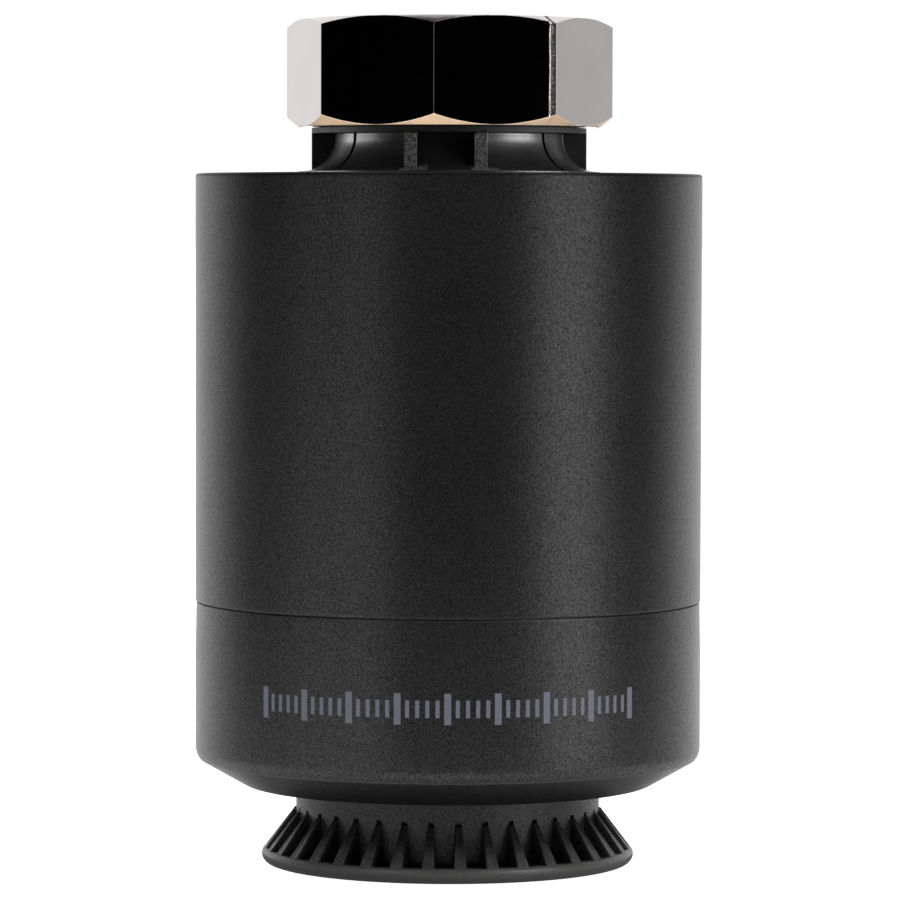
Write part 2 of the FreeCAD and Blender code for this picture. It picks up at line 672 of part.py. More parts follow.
def temperature_sensor():
    # bead on two legs
    bead = Part.makeSphere(0.9, Vector(-22.5, -6.0, 13.6))
    return with_posts(bead, 0.25, 13.6, BOARD_Z0, [(-22.9, -6.0), (-22.1, -6.0)])


def display_carrier():
    body = lathe([
        (12.35, 0.45), (CARRIER_R, 0.45, 0.15), (CARRIER_R, CARRIER_FLANGE_Z),
        (16.0, CARRIER_FLANGE_Z), (16.0, BOARD_Z0), (CARRIER_BORE_R, BOARD_Z0),
        (CARRIER_BORE_R, 9.2), (12.0, 9.2), (12.0, DISPLAY_Z1), (CARRIER_BORE_R, DISPLAY_Z1),
        (CARRIER_BORE_R, 0.75), (12.35, 0.75),
    ])
    arm = box((14.5, LUG_R), (-2.5, 2.5), (CARRIER_FLANGE_Z, BOARD_Z0))
    for angle, place in zip(LUG_ANGLES, LUGS):
        lug = cylinder(2.5, CARRIER_FLANGE_Z, BOARD_Z0, place)
        body = body.fuse(lug.fuse(rotated(arm, angle)))
    return drilled(body, 1.0, 15.7, 18.0, LUGS).removeSplitter()


def push_switch():
    body = box((-2.2, 2.2), (6.6, 10.4), (5.6, DISPLAY_Z0))
    return body.fuse(cylinder(0.9, 5.0, 5.8, (0.0, 8.6))).removeSplitter()


def display_window():
    return lathe([
        (0, 0.5), (6.0, 0.53), (12.2, 0.62), (12.2, 0.8), (12.85, 0.8),
        (12.85, FRAME_Z0), (0, FRAME_Z0),
    ])


def window_frame():
    # ring with a tab reaching in under the push switch
    tab = box((-1.6, 1.6), (7.6, 12.3), (3.4, FRAME_Z1))
    return tube(12.93, 12.0, FRAME_Z0, FRAME_Z1).fuse(tab).removeSplitter()


save("main_board", main_board())
save("radio_module", box((-6.0, 6.0), (19.7, 24.0), (15.7, BOARD_Z0)))
save("controller_chip", box((-7.5, -0.5), (-3.5, 3.5), (16.4, BOARD_Z0)))
save("capacitor", capacitor())
save("temperature_sensor", temperature_sensor())
save("display_carrier", display_carrier())
save("carrier_screws", *screws(LUGS, seat=20.9, tip=15.8, radius=0.96,
                               head_radius=1.8, head_height=1.0))
save("display_board", cylinder(12.8, DISPLAY_Z0, DISPLAY_Z1))
save("display_module", box((-9.0, 9.0), (-6.5, 5.5), (5.2, DISPLAY_Z0)))
save("push_switch", push_switch())
save("header_pins", *[cylinder(0.3, DISPLAY_Z1, BOARD_Z0, (-3.75 + 1.5 * i, -9.5))
                      for i in range(6)])
save("display_window", display_window())
save("window_frame", window_frame())
save("button_spring", coil(12.45, 12.45, FRAME_Z1, DISPLAY_Z0, 0.2))
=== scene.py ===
"""A round black housing standing upright on Z, centred on the axis.

From the bottom up: a ribbed dial, the front shell, the outer sleeve, a mounting collar and an
octagonal union nut. The camera looks along +Y, so -Y is the front and +X the right.
The nut, dial, sleeve and front shell are built here; the other pieces keep their CAD meshes.
Pieces and their textures are sized in millimetres; stage, lights and camera in metres.
"""
import json
import math
from functools import cached_property

import bmesh
import bpy
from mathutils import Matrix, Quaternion, Vector


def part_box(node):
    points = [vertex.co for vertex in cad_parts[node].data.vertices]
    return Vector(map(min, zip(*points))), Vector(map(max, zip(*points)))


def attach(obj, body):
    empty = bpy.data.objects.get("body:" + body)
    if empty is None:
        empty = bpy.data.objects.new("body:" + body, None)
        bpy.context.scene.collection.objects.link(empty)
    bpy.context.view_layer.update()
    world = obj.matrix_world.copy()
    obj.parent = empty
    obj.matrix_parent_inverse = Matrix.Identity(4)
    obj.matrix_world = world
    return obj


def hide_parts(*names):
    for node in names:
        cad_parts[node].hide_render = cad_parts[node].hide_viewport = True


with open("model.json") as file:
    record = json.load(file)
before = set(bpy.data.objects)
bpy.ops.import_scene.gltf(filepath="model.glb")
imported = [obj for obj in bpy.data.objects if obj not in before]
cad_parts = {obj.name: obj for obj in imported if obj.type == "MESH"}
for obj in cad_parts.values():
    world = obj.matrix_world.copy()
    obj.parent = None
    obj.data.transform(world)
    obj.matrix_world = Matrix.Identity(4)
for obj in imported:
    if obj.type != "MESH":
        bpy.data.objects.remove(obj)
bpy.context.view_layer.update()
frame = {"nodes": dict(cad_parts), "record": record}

NODES = frame["nodes"]
SLOT = {s["node"]: s["material_slot"] for s in frame["record"]["subparts"]}
MM = 0.001
DEG = 180.0 / math.pi

# Sizes shared by a piece and its material, in millimetres and degrees
NUT_FLAT = 17.0                  # from the axis to a flat
NUT_SIDES = 8
NUT_TURN = 5.2                   # one corner stands this far left of the front
RIB_TOP_R, RIB_TOP_Z = 17.40, 6.02   # upper end of a dial rib's sloping face


# ============================================================ shader helpers
SPREAD = (0.3, 0.7)              # the range that most noise values fall in


class Value:
    """A node's output; arithmetic on it adds math nodes."""

    def __init__(self, shader, socket):
        self.shader, self.socket = shader, socket

    def __add__(self, other):
        return self.shader.math("ADD", self, other)

    def __radd__(self, other):
        return self.shader.math("ADD", other, self)

    def __sub__(self, other):
        return self.shader.math("SUBTRACT", self, other)

    def __rsub__(self, other):
        return self.shader.math("SUBTRACT", other, self)

    def __mul__(self, other):
        return self.shader.math("MULTIPLY", self, other)

    def __truediv__(self, other):
        return self.shader.math("DIVIDE", self, other)

    def __rtruediv__(self, other):
        return self.shader.math("DIVIDE", other, self)

    def __pow__(self, other):
        return self.shader.math("POWER", self, other)

    def __abs__(self):
        return self.shader.math("ABSOLUTE", self)


class Shader:
    """The node tree of a material or world. Texture lengths are in millimetres."""

    def __init__(self, block, output_kind, shader_kind):
        self.block = block
        block.use_nodes = True
        self.tree = block.node_tree
        self.tree.nodes.clear()
        output = self.node(output_kind)
        self.main = self.node(shader_kind)
        self.tree.links.new(self.main.outputs[0], output.inputs["Surface"])

    def put(self, socket, value):
        if isinstance(value, Value):
            self.tree.links.new(value.socket, socket)
        else:
            socket.default_value = value

    def set(self, name, value):
        """Feed one socket of the main shader."""
        self.put(self.main.inputs[name], value)

    def node(self, kind, inputs=None, **props):
        node = self.tree.nodes.new(kind)
        for key, value in props.items():
            setattr(node, key, value)
        for key, value in (inputs or {}).items():
            self.put(node.inputs[key], value)
        return node

    def value(self, kind, inputs=None, out=0, **props):
        return Value(self, self.node(kind, inputs, **props).outputs[out])

    def values(self, kind, inputs):
        return [Value(self, socket) for socket in self.node(kind, inputs).outputs]

    @cached_property
    def position(self):
        """Object coordinates in millimetres."""
        metres = self.value("ShaderNodeTexCoord", out="Object")
        return self.value("ShaderNodeVectorMath", {0: metres, "Scale": 1000.0}, operation="SCALE")

    def separate(self, vector):
        return self.values("ShaderNodeSeparateXYZ", {0: vector})

    def xyz(self):
        return self.separate(self.position)

    def radial(self):
        """x, y, distance from the upright axis, and height."""
        axis_x, axis_y = 0.0, 0.0
        x, y, z = self.xyz()
        x, y = x - axis_x, y - axis_y
        return x, y, self.math("SQRT", x * x + y * y), z

    def bearing(self, x, y):
        """Angle in radians from the front (-Y), positive to the right."""
        return self.math("ARCTAN2", x, y * -1.0)

    def vector(self, x, y, z):
        return self.value("ShaderNodeCombineXYZ", {0: x, 1: y, 2: z})

    def stretched(self, factors):
        """The position with each axis scaled."""
        return self.value("ShaderNodeVectorMath", {0: self.position, 1: factors},
                          operation="MULTIPLY")

    def noise(self, scale, detail=2.0, rough=0.5, stretch=None):
        return self.value("ShaderNodeTexNoise", {
            "Vector": self.stretched(stretch) if stretch else self.position,
            "Scale": scale, "Detail": detail, "Roughness": rough}, out="Fac")

    def voronoi(self, scale, out="Distance", randomness=1.0):
        return self.value("ShaderNodeTexVoronoi", {
            "Vector": self.position, "Scale": scale, "Randomness": randomness}, out=out)

    def cells(self, scale):
        """Three random values for each small cell."""
        return self.values("ShaderNodeSeparateColor", {0: self.voronoi(scale, out="Color")})

    def brick(self, **sizes):
        inputs = {key.replace("_", " ").title(): size for key, size in sizes.items()}
        return self.value("ShaderNodeTexBrick", {"Vector": self.position, **inputs}, out="Fac")

    def math(self, operation, a, b=0.0, clamp=False):
        return self.value("ShaderNodeMath", {0: a, 1: b, 2: 0.0},
                          operation=operation, use_clamp=clamp)

    def ramp(self, value, over=SPREAD, to=(0.0, 1.0), smooth=False):
        """Map the range over onto the range to, held at both ends."""
        return self.value("ShaderNodeMapRange",
                          {0: value, 1: over[0], 2: over[1], 3: to[0], 4: to[1]},
                          interpolation_type="SMOOTHSTEP" if smooth else "LINEAR")

    def window(self, value, rise, fall, smooth=False):
        """0, up to 1 across rise, and down to 0 again across fall."""
        return (self.ramp(value, over=rise, smooth=smooth)
                * self.ramp(value, over=(fall[1], fall[0]), smooth=smooth))

    def mix(self, share, a, b):
        """Colour a, with this share of colour b."""
        a, b = (c if isinstance(c, Value) else (*c, 1.0) for c in (a, b))
        return self.value("ShaderNodeMix", {0: share, 6: a, 7: b}, out=2, data_type="RGBA")

    def bump(self, height, strength, distance, normal=None):
        inputs = {"Strength": strength, "Distance": distance * MM, "Height": height}
        if normal is not None:
            inputs["Normal"] = normal
        return self.value("ShaderNodeBump", inputs)

    def edge_normal(self, radius):
        return self.value("ShaderNodeBevel", {"Radius": radius * MM}, samples=4)

    def wear(self, radius):
        """About 0 on open faces, towards 1 on outer edges."""
        face = self.value("ShaderNodeNewGeometry", out="Normal")
        dot = self.value("ShaderNodeVectorMath", {0: face, 1: self.edge_normal(radius)},
                         out="Value", operation="DOT_PRODUCT")
        return self.ramp(dot, over=(1.0, 0.86))


def new_material(name):
    return Shader(bpy.data.materials.new(name),
                  "ShaderNodeOutputMaterial", "ShaderNodeBsdfPrincipled")


def shade(colour, factor, lift=0.0):
    return [min(1.0, c * factor + lift) for c in colour]


# =============================================================== materials
def satin_black(name):
    """Soft-feel black paint: fine orange peel, a fine sparkle in it, faint handling marks."""
    m = new_material(name)
    base = (0.0066, 0.0062, 0.0064)
    fine = m.noise(scale=4.2, rough=0.6)
    peel = m.noise(scale=1.1, detail=3.0)
    cloud = m.noise(scale=0.06, detail=3.0, rough=0.55)
    cell_a, cell_b, cell_c = m.cells(scale=10.5)
    sparkle = cell_a ** 2.6 * 0.16 + cell_b ** 26.0 * 0.55    # many faint, a few bright
    colour = m.mix(m.ramp(cloud), shade(base, 0.88), shade(base, 1.15))
    colour = m.mix(m.ramp(fine, over=(0.35, 0.75)) * 0.35, colour, shade(base, 2.0))
    colour = m.mix(sparkle * 0.75, colour, (0.085, 0.080, 0.076))
    patches = m.ramp(m.noise(scale=0.9, detail=3.0), over=(0.45, 0.65), to=(0.0, 0.5))
    worn = m.wear(radius=0.22) * patches
    colour = m.mix(worn, colour, shade(base, 2.6))

    # painted highlights: paler rings round the crease above the dial and round the front shell's
    # upper edge, standing in for the thin light lines these edges catch
    _, _, r, z = m.radial()
    crease = m.window(z, rise=(11.78, 11.82), fall=(11.92, 11.98)) * m.ramp(r, over=(27.6, 27.8))
    top = m.window(z, rise=(29.30, 29.34), fall=(29.44, 29.50)) * m.ramp(r, over=(28.0, 28.2))
    colour = m.mix(top * 0.7, colour, (0.030, 0.029, 0.029))
    m.set("Base Color", m.mix(crease * 0.9, colour, (0.052, 0.050, 0.049)))
    rough = m.ramp(cloud, to=(0.305, 0.355)) + m.ramp(fine, to=(-0.03, 0.03))
    m.set("Roughness", rough - worn * 0.08)

    # weaker reflections on the sleeve's top face and below the crease
    x = m.xyz()[0]
    lip = m.ramp(z, over=(77.30, 77.38)) * m.ramp(abs(x), over=(4.0, 10.0), to=(0.97, 0.76))
    under = m.math("MAXIMUM", m.ramp(z, over=(9.3, 11.7), to=(0.42, 1.0)),
                   m.ramp(z, over=(11.7, 11.8)))
    m.set("Specular IOR Level", (0.11 + cell_c * 0.78) * under * (1.0 - lip))
    coarse = m.bump(peel, strength=0.06, distance=0.03, normal=m.edge_normal(0.12))
    m.set("Normal", m.bump(fine, strength=0.55, distance=0.010, normal=coarse))
    return m.block


def moulded(name, base, rough=0.45, grain=2.4, bump=0.3, vary=0.15, edge=0.12, coat=0.0, sss=0.0):
    """Injection-moulded plastic with spark-eroded grain; edge is its rounding."""
    m = new_material(name)
    fine = m.noise(scale=grain, detail=3.0, rough=0.55)
    cloud = m.noise(scale=0.12)
    flow = m.noise(scale=0.5, stretch=(1.0, 1.0, 0.15))
    colour = m.mix(m.ramp(cloud), shade(base, 1 - vary), shade(base, 1 + vary))
    colour = m.mix(m.ramp(fine, over=(0.55, 0.8), to=(0.0, 0.25)), colour,
                   shade(base, 1.5, lift=0.004))
    colour = m.mix(m.wear(radius=edge * 2) * 0.22, colour, shade(base, 1.5, lift=0.02))
    m.set("Base Color", colour)
    m.set("Roughness", m.ramp(flow, to=(rough - 0.04, rough + 0.04))
          + m.ramp(fine, to=(-0.04, 0.04)))
    m.set("Coat Weight", coat)
    m.set("Coat Roughness", 0.12)
    if sss:
        m.set("Subsurface Weight", sss)
        m.set("Subsurface Radius", (1.0, 1.0, 0.9))
        m.set("Subsurface Scale", 0.0008)
    m.set("Normal", m.bump(fine, strength=bump, distance=0.012, normal=m.edge_normal(edge)))
    return m.block


def metal(name, base, rough=0.22, streak=(1.0, 1.0, 14.0), scale=1.2, warm=None):
    """Machined or drawn metal with marks along the axes where streak is small."""
    m = new_material(name)
    marks = m.noise(scale=scale, detail=4.0, rough=0.6, stretch=streak)
    blotch = m.noise(scale=0.35, detail=3.0)
    colour = m.mix(m.ramp(blotch), shade(base, 0.93), shade(base, 1.05))
    if warm:
        tint = m.ramp(m.noise(scale=0.12), over=(0.45, 0.7), to=(0.0, 0.6))
        colour = m.mix(tint, colour, warm)
    colour = m.mix(m.ramp(marks, over=(0.25, 0.5), to=(0.18, 0.0)), colour, shade(base, 0.6))
    m.set("Base Color", colour)
    m.set("Metallic", 1.0)
    m.set("Roughness", m.ramp(marks, to=(rough - 0.05, rough + 0.06))
          + m.ramp(blotch, to=(-0.02, 0.03)))
    m.set("Normal", m.bump(marks, strength=0.10, distance=0.006, normal=m.edge_normal(0.10)))
    return m.block


def nickel(name):
    """Satin nickel over machined brass: rough along one corner, warm on the lower chamfer."""
    m = new_material(name)
    side_angle = 2 * math.pi / NUT_SIDES
    x, y, r, z = m.radial()
    corner = (m.math("ARCTAN2", y, x) - math.radians(-90.0 - NUT_TURN)) / side_angle
    near = corner - m.math("ROUND", corner)            # -0.5..0.5 about each corner
    fine = m.noise(scale=3.2, detail=3.0, rough=0.6)
    cloud = m.noise(scale=0.16, detail=3.0)
    lines = m.noise(scale=1.0, detail=3.0, rough=0.6, stretch=(0.25, 0.25, 5.0))
    chips = m.noise(scale=5.5, rough=0.7)
    colour = m.mix(m.ramp(cloud), (0.655, 0.612, 0.606), (0.69, 0.648, 0.642))
    colour = m.mix(m.ramp(fine, over=(0.55, 0.8)) * 0.10, colour, (0.50, 0.46, 0.45))

    # a burred strip beside one corner
    strip = m.window(near, rise=(-0.052, -0.040), fall=(-0.018, -0.012))
    one = m.ramp(abs(corner - 0.96), over=(0.10, 0.14), to=(1.0, 0.0))
    burr = strip * (one * 0.95)
    colour = m.mix(burr * m.ramp(chips, over=(0.54, 0.66), to=(1.0, 0.15)),
                   colour, (0.020, 0.019, 0.018))

    # thin plating on the lower chamfer: inside the flats, or below the cone's height
    low = m.ramp(z, over=(85.2, 85.0))
    reach = r * m.math("COSINE", (0.5 - abs(near)) * side_angle)    # along the face's normal
    inside = low * m.ramp(reach, over=(16.95, 16.985), to=(1.0, 0.0))
    above_cone = z - (82.95 + (r - NUT_FLAT) * 0.819)
    below = low * m.ramp(above_cone, over=(0.03, 0.06), to=(1.0, 0.0))
    chamfer = m.math("MAXIMUM", inside, below) * m.ramp(r, over=(16.6, 16.7))
    patches = m.noise(scale=0.7, detail=3.0)
    bare = chamfer * m.ramp(patches, over=(0.30, 0.62), to=(1.0, 0.90))
    m.set("Base Color", m.mix(bare, colour, (0.80, 0.62, 0.46)))
    m.set("Metallic", 1.0 - bare * 0.8)
    rough = m.ramp(lines, to=(0.026, 0.040)) + m.ramp(fine, to=(-0.004, 0.004))
    m.set("Roughness", rough + bare * 0.30 + burr * 0.25)
    satin = m.bump(lines * 0.4 + fine * 0.5, strength=0.025, distance=0.006,
                   normal=m.edge_normal(0.03))
    m.set("Normal", m.bump(chips * burr * 4.0, strength=1.0, distance=0.12, normal=satin))
    return m.block


def board(name):
    """Circuit board: solder mask over tracks, pads and vias."""
    m = new_material(name)
    mask, mask_on_track = (0.006, 0.060, 0.026), (0.012, 0.115, 0.046)
    tracks = m.brick(scale=0.55, mortar_size=0.055, brick_width=1.7, row_height=0.45)
    dots = m.ramp(m.voronoi(scale=0.55, randomness=0.85), over=(0.16, 0.13))
    hole = m.ramp(m.voronoi(scale=0.55, randomness=0.85), over=(0.07, 0.05))
    cloud = m.noise(scale=0.3, detail=3.0)
    colour = m.mix(tracks, mask, mask_on_track)
    colour = m.mix(m.ramp(cloud, over=(0.4, 0.6), to=(0.0, 0.3)), colour, mask)
    colour = m.mix(dots, colour, (0.62, 0.60, 0.56))
    m.set("Base Color", m.mix(hole, colour, (0.01, 0.01, 0.01)))
    m.set("Metallic", m.math("SUBTRACT", dots, hole, clamp=True))
    m.set("Roughness", m.ramp(cloud, to=(0.26, 0.36)))
    m.set("Coat Weight", 0.3)
    m.set("Normal", m.bump(tracks + dots, strength=0.25, distance=0.03,
                           normal=m.edge_normal(0.05)))
    return m.block


def jacket(name):
    """Battery cells side by side, end for end: shrink jacket with a band, bare ends."""
    m = new_material(name)
    cell_x, cell_y = 7.75, 17.0
    z_sum = 95.8                 # measures the right cell from its other end
    z = m.xyz()[2]
    x, y, _ = m.xyz()
    dx, dy = abs(x) - cell_x, y - cell_y
    bare = m.ramp(m.math("SQRT", dx * dx + dy * dy), over=(6.55, 6.45))
    left = m.math("LESS_THAN", x, 0.0)
    along = m.separate(m.mix(left, m.vector(z_sum - z, 0, 0), m.vector(z, 0, 0)))[0]
    band = m.ramp(along, over=(61.0, 61.1))
    ring = m.ramp(along, over=(59.6, 59.7)) * (1.0 - band)
    wrinkle = m.noise(scale=0.5, detail=3.0, rough=0.6, stretch=(1.0, 1.0, 0.25))
    colour = m.mix(band, (0.012, 0.014, 0.018), (0.52, 0.27, 0.10))
    colour = m.mix(ring, colour, (0.7, 0.7, 0.7))
    colour = m.mix(m.ramp(wrinkle, over=(0.4, 0.7), to=(0.0, 0.12)), colour, (0.2, 0.2, 0.2))
    m.set("Base Color", m.mix(bare, colour, (0.62, 0.61, 0.59)))
    m.set("Metallic", m.math("MAXIMUM", bare, band * 0.6))
    m.set("Roughness", m.ramp(wrinkle, to=(0.20, 0.32)))
    m.set("Coat Weight", 0.4)
    m.set("Normal", m.bump(wrinkle, strength=0.15, distance=0.05, normal=m.edge_normal(0.1)))
    return m.block


def smoked_window(name):
    """Glossy, nearly black window with light scuffs."""
    m = new_material(name)
    scuff = m.noise(scale=0.8, detail=5.0, rough=0.7)
    fine = m.noise(scale=9.0)
    m.set("Base Color", m.mix(m.ramp(scuff, over=(0.5, 0.8), to=(0.0, 0.3)),
                              (0.006, 0.006, 0.007), (0.014, 0.014, 0.015)))
    m.set("Roughness", m.ramp(scuff, over=(0.4, 0.7), to=(0.045, 0.11))
          + m.ramp(fine, to=(0.0, 0.02)))
    m.set("Coat Weight", 0.6)
    m.set("Coat Roughness", 0.03)
    m.set("Normal", m.bump(scuff, strength=0.03, distance=0.02, normal=m.edge_normal(0.15)))
    return m.block


def display_face(name):
    """Display glass: dark border, greenish active field with a faint segment grid."""
    m = new_material(name)
    half_width, half_depth, back_shift = 8.0, 5.0, 0.5
    x, y, _ = m.xyz()
    inside = (m.math("LESS_THAN", abs(x), half_width)
              * m.math("LESS_THAN", abs(y + back_shift), half_depth))
    grid = m.brick(scale=0.8, mortar_size=0.05)
    grain = m.noise(scale=6.0)
    field = m.mix(grid, (0.10, 0.125, 0.115), (0.075, 0.095, 0.088))
    colour = m.mix(inside, (0.012, 0.012, 0.012), field)
    m.set("Base Color", m.mix(grain * 0.2, colour, (0.15, 0.16, 0.15)))
    m.set("Roughness", m.ramp(grain, to=(0.08, 0.14)))
    m.set("Coat Weight", 1.0)
    m.set("Coat Roughness", 0.04)
    m.set("Normal", m.edge_normal(0.06))
    return m.block


def print_ink(name):
    """Blue-grey printing, speckled and thin in places."""
    m = new_material(name)
    speck = m.noise(scale=7.0, detail=3.0, rough=0.6)
    thin = m.noise(scale=1.5, detail=3.0, rough=0.6)
    colour = m.mix(m.ramp(speck), (0.135, 0.145, 0.185), (0.175, 0.185, 0.235))
    m.set("Base Color", m.mix(m.ramp(thin, over=(0.62, 0.75), to=(0.0, 0.3)),
                              colour, (0.06, 0.062, 0.075)))
    m.set("Roughness", m.ramp(speck, to=(0.46, 0.60)))
    m.set("Normal", m.bump(speck, strength=0.25, distance=0.008))
    return m.block


def collar_plastic(name):
    """Satin black plastic; the front and back rib faces keep a coarse eroded texture."""
    m = new_material(name)
    x, y, z = m.xyz()
    ribs = (m.ramp(abs(y), over=(14.3, 14.5)) * m.ramp(z, over=(82.12, 82.0))
            * m.ramp(z, over=(77.9, 78.0))
            * m.window(abs(x), rise=(2.3, 2.5), fall=(5.4, 5.6)))
    flange = m.ramp(z, over=(82.08, 82.16))
    fine = m.noise(scale=1.8, detail=3.0, rough=0.55)
    pits = m.noise(scale=4.6, rough=0.75)
    cloud = m.noise(scale=0.25, detail=3.0)
    scuff = m.noise(scale=0.8, detail=4.0, rough=0.6, stretch=(0.3, 0.3, 1.5))
    colour = m.mix(m.ramp(cloud), (0.0075, 0.0075, 0.0078), (0.0120, 0.0120, 0.0123))
    colour = m.mix(m.ramp(scuff, over=(0.60, 0.72)) * 0.25, colour, (0.03, 0.03, 0.03))
    eroded = m.mix(m.ramp(pits, over=(0.44, 0.60)), (0.006, 0.006, 0.006), (0.10, 0.10, 0.10))
    m.set("Base Color", m.mix(ribs, colour, eroded))
    m.set("Specular IOR Level", m.ramp(flange, over=(0.0, 1.0), to=(0.5, 0.12)))
    m.set("Roughness", m.ramp(fine, to=(0.30, 0.38)) + m.math("MAXIMUM", ribs, flange) * 0.25)
    satin = m.bump(fine, strength=0.08, distance=0.012, normal=m.edge_normal(0.10))
    m.set("Normal", m.bump(pits * ribs, strength=0.9, distance=0.10, normal=satin))
    return m.block


def dial_plastic(name):
    """Grained black plastic with painted highlights: two fine lines round the rim, the rim band and
    the lower rib ends.
    """
    m = new_material(name)
    base = (0.0118, 0.0114, 0.0116)
    _, _, r, z = m.radial()
    fine = m.noise(scale=3.0, detail=3.0, rough=0.6)
    specks, _, shine = m.cells(scale=9.0)
    cloud = m.noise(scale=0.12)
    colour = m.mix(m.ramp(cloud), shade(base, 0.9), shade(base, 1.1))
    colour = m.mix(specks ** 3.0 * 0.42, colour, (0.055, 0.052, 0.051))
    # painted highlights: two fine lines round the rim, lighter and smoother with a slight groove
    # bump, standing in for light caught by tiny step edges
    upper = m.window(z, rise=(1.26, 1.31), fall=(1.37, 1.42))
    lower = m.window(z, rise=(0.84, 0.88), fall=(0.94, 0.98))
    lines = (upper + lower * 0.45) * m.ramp(r, over=(20.5, 20.6))
    lines = lines * m.ramp(m.noise(scale=0.9), over=(0.35, 0.6), to=(0.6, 1.0))

    # painted highlight on the outer faces of the ribs only, stronger towards the bottom where they
    # catch the light, with lower roughness there
    face_r = r - (RIB_TOP_R + (RIB_TOP_Z - z) * 0.758)
    on_face = m.ramp(face_r, over=(-0.30, -0.12)) * m.ramp(z, over=(6.1, 6.0))
    rib_face_highlight = on_face * m.ramp(z, over=(4.6, 2.0), smooth=True)
    rib_face_highlight = rib_face_highlight * m.ramp(m.noise(scale=1.6, detail=3.0), over=(0.35, 0.65), to=(0.45, 1.0))
    colour = m.mix(rib_face_highlight * 0.85, colour, (0.125, 0.122, 0.120))
    # painted reflection: the rim band is lighter than the rest of the same plastic, standing in for
    # the bright floor it reflects
    rim = m.ramp(r, over=(20.3, 20.6)) * m.ramp(z, over=(1.80, 1.70))
    colour = m.mix(rim * 0.85, colour, (0.150, 0.147, 0.144))
    m.set("Base Color", m.mix(lines * 0.75, colour, (0.155, 0.150, 0.148)))
    m.set("Roughness", m.ramp(fine, to=(0.40, 0.50)) + rib_face_highlight * -0.12 - lines * 0.10)
    m.set("Specular IOR Level", 0.22 + shine * 0.56)
    m.set("Normal", m.bump(fine + lines * -0.6, strength=0.40, distance=0.014,
                           normal=m.edge_normal(0.10)))
    return m.block


MATERIALS = {
    "body_black": satin_black("satin_black_paint"),
    "dial_black": dial_plastic("dial_black"),
    "collar_black": collar_plastic("collar_black"),
    # the seal's grey is painted light: much lighter than black rubber so the shaded seam gap does
    # not read black
    "seal_black": moulded("seal_grey_painted_light", (0.150, 0.148, 0.146), rough=0.6, grain=5.0, edge=0.04),
    "print_grey": print_ink("pad_print"),
    "window_smoke": smoked_window("smoked_window"),
    "frame_white": moulded("frame_white", (0.62, 0.62, 0.60), rough=0.4, vary=0.04, sss=0.15),
    "chassis_grey": moulded("chassis_grey", (0.030, 0.030, 0.032), rough=0.48, grain=1.8,
                            vary=0.12),
    "gear_white": moulded("gear_white", (0.70, 0.69, 0.64), rough=0.33, grain=2.0, bump=0.12,
                          vary=0.03, edge=0.05, sss=0.25),
    "gear_black": moulded("gear_black", (0.012, 0.012, 0.012), rough=0.32, grain=2.0,
                          bump=0.12, edge=0.05),
    "washer_white": moulded("washer_white", (0.75, 0.75, 0.73), rough=0.4, vary=0.03, sss=0.2),
    "cap_white": moulded("cap_white", (0.68, 0.68, 0.65), rough=0.4, vary=0.03, sss=0.15),
    "chip_black": moulded("chip_black", (0.009, 0.009, 0.010), rough=0.5, grain=4.0,
                          bump=0.4, edge=0.06),
    "cap_sleeve": moulded("cap_sleeve", (0.010, 0.016, 0.040), rough=0.25, grain=0.8,
                          bump=0.1, coat=0.4),
    "sensor_black": moulded("sensor_black", (0.010, 0.010, 0.010), rough=0.18, grain=1.0,
                            bump=0.08, coat=0.6),
    "lead_red": moulded("lead_red", (0.30, 0.012, 0.010), rough=0.42, grain=1.5, bump=0.1,
                        vary=0.1),
    "nut_nickel": nickel("nut_nickel"),
    "steel": metal("steel", (0.55, 0.55, 0.56), rough=0.20),
    "spring_steel": metal("spring_steel", (0.46, 0.46, 0.47), rough=0.26,
                          streak=(3.0, 3.0, 3.0)),
    "zinc_screw": metal("zinc_screw", (0.60, 0.60, 0.63), rough=0.25, streak=(2.0, 2.0, 8.0),
                        warm=(0.60, 0.58, 0.50)),
    "brass": metal("brass", (0.70, 0.50, 0.22)),
    "motor_steel": metal("motor_steel", (0.60, 0.60, 0.60), rough=0.18,
                         streak=(6.0, 6.0, 0.8), scale=0.8),
    "nickel_strip": metal("nickel_strip", (0.66, 0.64, 0.60), streak=(8.0, 0.8, 1.0)),
    "shield_can": metal("shield_can", (0.64, 0.64, 0.62), rough=0.3, streak=(0.8, 8.0, 1.0)),
    "board_green": board("board_green"),
    "cell_jacket": jacket("cell_jacket"),
    "display_glass": display_face("display_face"),
}


# ============================================================ mesh helpers
def make(name, mesh, slot, body, replaces, sharp):
    """A piece from (vertices, faces) in millimetres; edges above sharp degrees stay crisp."""
    verts, faces = mesh
    me = bpy.data.meshes.new(name)
    me.from_pydata([Vector(v) * MM for v in verts], [], faces)
    bm = bmesh.new()
    bm.from_mesh(me)
    bmesh.ops.remove_doubles(bm, verts=bm.verts, dist=1e-7)
    bmesh.ops.recalc_face_normals(bm, faces=bm.faces)
    bm.to_mesh(me)
    bm.free()
    me.polygons.foreach_set("use_smooth", [True] * len(me.polygons))
    me.set_sharp_from_angle(angle=math.radians(sharp))
    ob = bpy.data.objects.new(name, me)
    bpy.context.scene.collection.objects.link(ob)
    me.materials.append(MATERIALS[slot])
    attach(ob, body)
    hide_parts(replaces)
    return ob


def heights(node):
    """Lowest and highest z of a CAD piece."""
    low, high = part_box(node)
    return low.z / MM, high.z / MM


def polar(radius, angle, z):
    return radius * math.cos(angle), radius * math.sin(angle), z


def circle(radius, angles, z):
    return [polar(radius, angle, z) for angle in angles]


